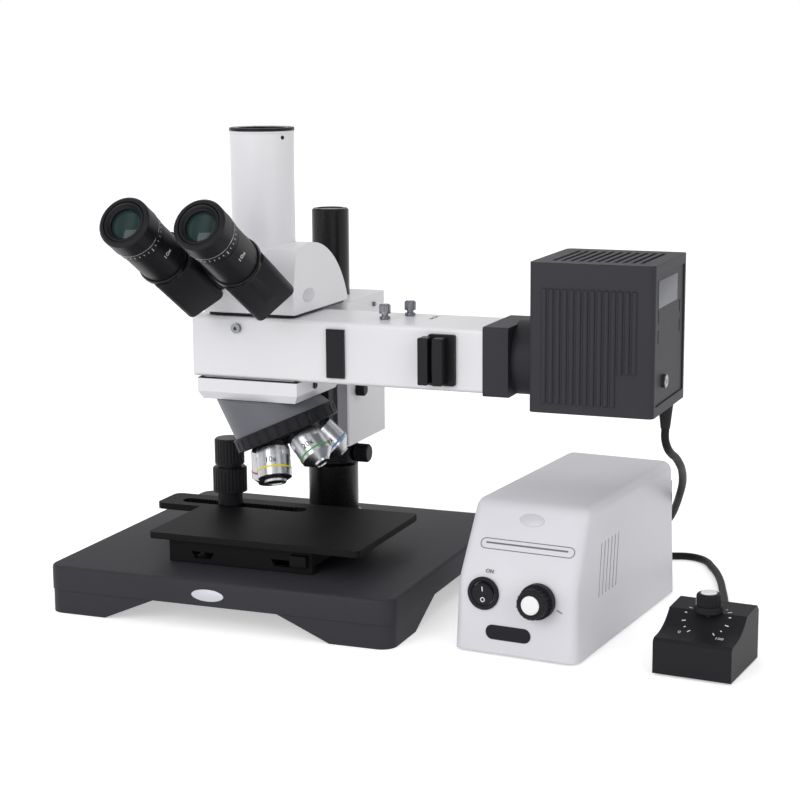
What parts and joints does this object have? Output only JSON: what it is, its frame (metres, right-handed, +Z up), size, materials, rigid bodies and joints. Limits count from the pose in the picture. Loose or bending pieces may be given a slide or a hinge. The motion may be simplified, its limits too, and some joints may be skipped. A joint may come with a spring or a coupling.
{
  "type": "trinocular_metallurgical_microscope",
  "caption": "Trinocular metallurgical microscope on a flat stand, with reflected-light lamp house, lamp supply and dimmer box",
  "frame": {"origin": "Middle of the base's footprint, on the bench.", "axes": "X to the user's right, towards the lamp house; Y to the rear, towards the post; Z up. The user sits at -Y."},
  "size_m": [0.5242, 0.3849, 0.361],
  "materials": {
    "enamel_white": "Off-white stoved enamel, satin",
    "enamel_black": "Black fine-texture powder coat",
    "enamel_grey": "Grey satin enamel",
    "anodised_black": "Black anodised, knurled where gripped",
    "steel": "Bright turned steel",
    "chrome": "Polished chrome plate",
    "steel_black": "Blackened steel, satin",
    "rubber": "Matt black rubber",
    "plastic_black": "Matt black moulded plastic",
    "plastic_white": "Light grey moulded cover",
    "glass": "Coated optical glass",
    "ceramic": "Cream ceramic",
    "cord_pvc": "Black cable jacket, satin"
  },
  "bodies": {
    "stand": {"base": "enamel_black", "rubber_feet": "rubber", "pedestal": "steel_black", "post": "steel_black", "stop_collar": "steel_black", "focus_block": "enamel_white", "focus_guide": "enamel_grey", "stage_bed": "anodised_black", "supply_cover": "plastic_white", "supply_chassis": "steel", "supply_fittings": "plastic_black", "dimmer_case": "plastic_black", "dimmer_base": "plastic_black", "cord_glands": "rubber", "dimmer_cord": "cord_pvc", "lamp_cord": "cord_pvc", "transformer": "steel_black"},
    "scope": {"slide_way": "enamel_black", "body_holder": "enamel_white", "nosepiece_mount": "enamel_grey", "arm_shell": "enamel_white", "filter_sleeve": "anodised_black", "arm_optics": "glass", "lamp_adapter": "enamel_black", "lamp_house": "enamel_black", "lamp_door": "enamel_black", "lamp_socket": "ceramic", "lamp_bulb": "glass", "collector_lens": "glass", "lamp_gland": "rubber"},
    "coarse": {"coarse_knob": "anodised_black"},
    "fine": {"fine_knob": "anodised_black"},
    "tension": {"tension_knob": "plastic_black"},
    "collar_clamp": {"collar_knob": "plastic_black"},
    "carriage": {"stage_carriage": "anodised_black"},
    "plate": {"stage_plate": "enamel_black"},
    "x_drive": {"stage_x_knob": "anodised_black"},
    "y_drive": {"stage_y_knob": "anodised_black"},
    "turret": {"turret_disc": "anodised_black", "objectives": "chrome"},
    "analyser": {"slot_slider": "anodised_black"},
    "filter": {"filter_slider": "anodised_black"},
    "iris": {"iris_ring": "steel"},
    "centring_front": {"centring_screw_front": "chrome"},
    "centring_rear": {"centring_screw_rear": "chrome"},
    "head_lock": {"head_lock_screw": "chrome"},
    "head": {"head_base": "anodised_black", "head_body": "enamel_white", "phototube": "enamel_white", "head_prism": "glass", "hinge_spindle": "steel"},
    "left_tube": {"left_housing": "enamel_black", "left_eyepiece": "anodised_black"},
    "right_tube": {"right_housing": "enamel_black", "right_eyepiece": "anodised_black"},
    "left_ring": {"left_diopter": "anodised_black"},
    "right_ring": {"right_diopter": "anodised_black"},
    "power_rocker": {"switch_rocker": "plastic_black"},
    "brightness_knob": {"supply_knob": "plastic_black"},
    "dimmer_dial": {"dimmer_knob": "plastic_black"}
  },
  "joints": [
    {"name": "focus_slide", "type": "slide", "parent": "stand", "child": "scope", "axis": [0, 0, 1], "range_m": [-0.02, 0.012], "deforming": ["lamp_cord"]},
    {"name": "coarse_turn", "type": "hinge", "parent": "stand", "child": "coarse", "pos_m": [-0.046, 0.04972, 0.14], "axis": [-1, 0, 0], "range_deg": [-206, 124]},
    {"name": "fine_turn", "type": "hinge", "parent": "coarse", "child": "fine", "pos_m": [-0.06, 0.04972, 0.14], "axis": [-1, 0, 0], "continuous": true},
    {"name": "tension_turn", "type": "hinge", "parent": "stand", "child": "tension", "pos_m": [0.04, 0.062, 0.1485], "axis": [1, 0, 0], "range_deg": [-180, 180]},
    {"name": "collar_clamp_turn", "type": "hinge", "parent": "stand", "child": "collar_clamp", "pos_m": [0.026, 0.09, 0.09], "axis": [1, 0, 0], "range_deg": [-180, 180]},
    {"name": "stage_y_slide", "type": "slide", "parent": "stand", "child": "carriage", "axis": [0, 1, 0], "range_m": [-0.025, 0.025]},
    {"name": "stage_x_slide", "type": "slide", "parent": "carriage", "child": "plate", "axis": [1, 0, 0], "range_m": [-0.045, 0.03]},
    {"name": "x_drive_turn", "type": "hinge", "parent": "carriage", "child": "x_drive", "pos_m": [-0.053, 0.0045, 0.08], "axis": [0, 0, 1], "range_deg": [-310, 462]},
    {"name": "y_drive_turn", "type": "hinge", "parent": "carriage", "child": "y_drive", "pos_m": [-0.053, 0.0045, 0.103], "axis": [0, 0, 1], "range_deg": [-258, 258]},
    {"name": "turret_turn", "type": "hinge", "parent": "scope", "child": "turret", "pos_m": [0.0169, -0.0355, 0.13153], "axis": [-0.4067, 0, 0.9135], "continuous": true},
    {"name": "analyser_pull", "type": "slide", "parent": "scope", "child": "analyser", "axis": [0, -1, 0], "range_m": [0, 0.024]},
    {"name": "filter_pull", "type": "slide", "parent": "scope", "child": "filter", "axis": [0, -1, 0], "range_m": [0, 0.026]},
    {"name": "iris_lever_turn", "type": "hinge", "parent": "scope", "child": "iris", "pos_m": [0.1315, -0.0355, 0.19935], "axis": [1, 0, 0], "range_deg": [-9, 9]},
    {"name": "centring_front_turn", "type": "hinge", "parent": "scope", "child": "centring_front", "pos_m": [0.1, -0.0415, 0.23], "axis": [0, 0, 1], "range_deg": [-180, 180]},
    {"name": "centring_rear_turn", "type": "hinge", "parent": "scope", "child": "centring_rear", "pos_m": [0.111, -0.0185, 0.23], "axis": [0, 0, 1], "range_deg": [-180, 180]},
    {"name": "head_lock_turn", "type": "hinge", "parent": "scope", "child": "head_lock", "pos_m": [-0.008, -0.07, 0.2144], "axis": [0, -1, 0], "range_deg": [-180, 180]},
    {"name": "head_swivel", "type": "hinge", "parent": "scope", "child": "head", "pos_m": [0, -0.0355, 0.2239], "axis": [0, 0, 1], "range_deg": [-120, 120]},
    {"name": "right_tube_swing", "type": "hinge", "parent": "head", "child": "right_tube", "pos_m": [0, -0.10478, 0.2798], "axis": [0, -0.866, 0.5], "range_deg": [-2.3, 40.5]},
    {"name": "left_tube_swing", "type": "hinge", "parent": "head", "child": "left_tube", "pos_m": [0, -0.10478, 0.2798], "axis": [0, -0.866, 0.5], "range_deg": [-40.5, 2.3]},
    {"name": "right_diopter_turn", "type": "hinge", "parent": "right_tube", "child": "right_ring", "pos_m": [0.0285, -0.17672, 0.29319], "axis": [0, -0.866, 0.5], "range_deg": [-120, 120]},
    {"name": "left_diopter_turn", "type": "hinge", "parent": "left_tube", "child": "left_ring", "pos_m": [-0.0285, -0.17672, 0.29319], "axis": [0, -0.866, 0.5], "range_deg": [-120, 120]},
    {"name": "rocker_press", "type": "hinge", "parent": "stand", "child": "power_rocker", "pos_m": [0.20192, -0.11355, 0.044], "axis": [0.9954, -0.0958, 0], "range_deg": [-14, 0]},
    {"name": "brightness_turn", "type": "hinge", "parent": "stand", "child": "brightness_knob", "pos_m": [0.24365, -0.11837, 0.044], "axis": [-0.0958, -0.9946, 0.04], "range_deg": [-150, 150]},
    {"name": "dimmer_turn", "type": "hinge", "parent": "stand", "child": "dimmer_dial", "pos_m": [0.35476, -0.08707, 0.044], "axis": [0, 0, 1], "range_deg": [-150, 150]}
  ],
  "couplings": [
    {"joint": "coarse_turn", "follows": "focus_slide", "rad_per_m": 178.57},
    {"joint": "x_drive_turn", "follows": "stage_x_slide", "rad_per_m": -178.57},
    {"joint": "y_drive_turn", "follows": "stage_y_slide", "rad_per_m": -178.57},
    {"joint": "left_tube_swing", "follows": "right_tube_swing", "ratio": -1}
  ]
}
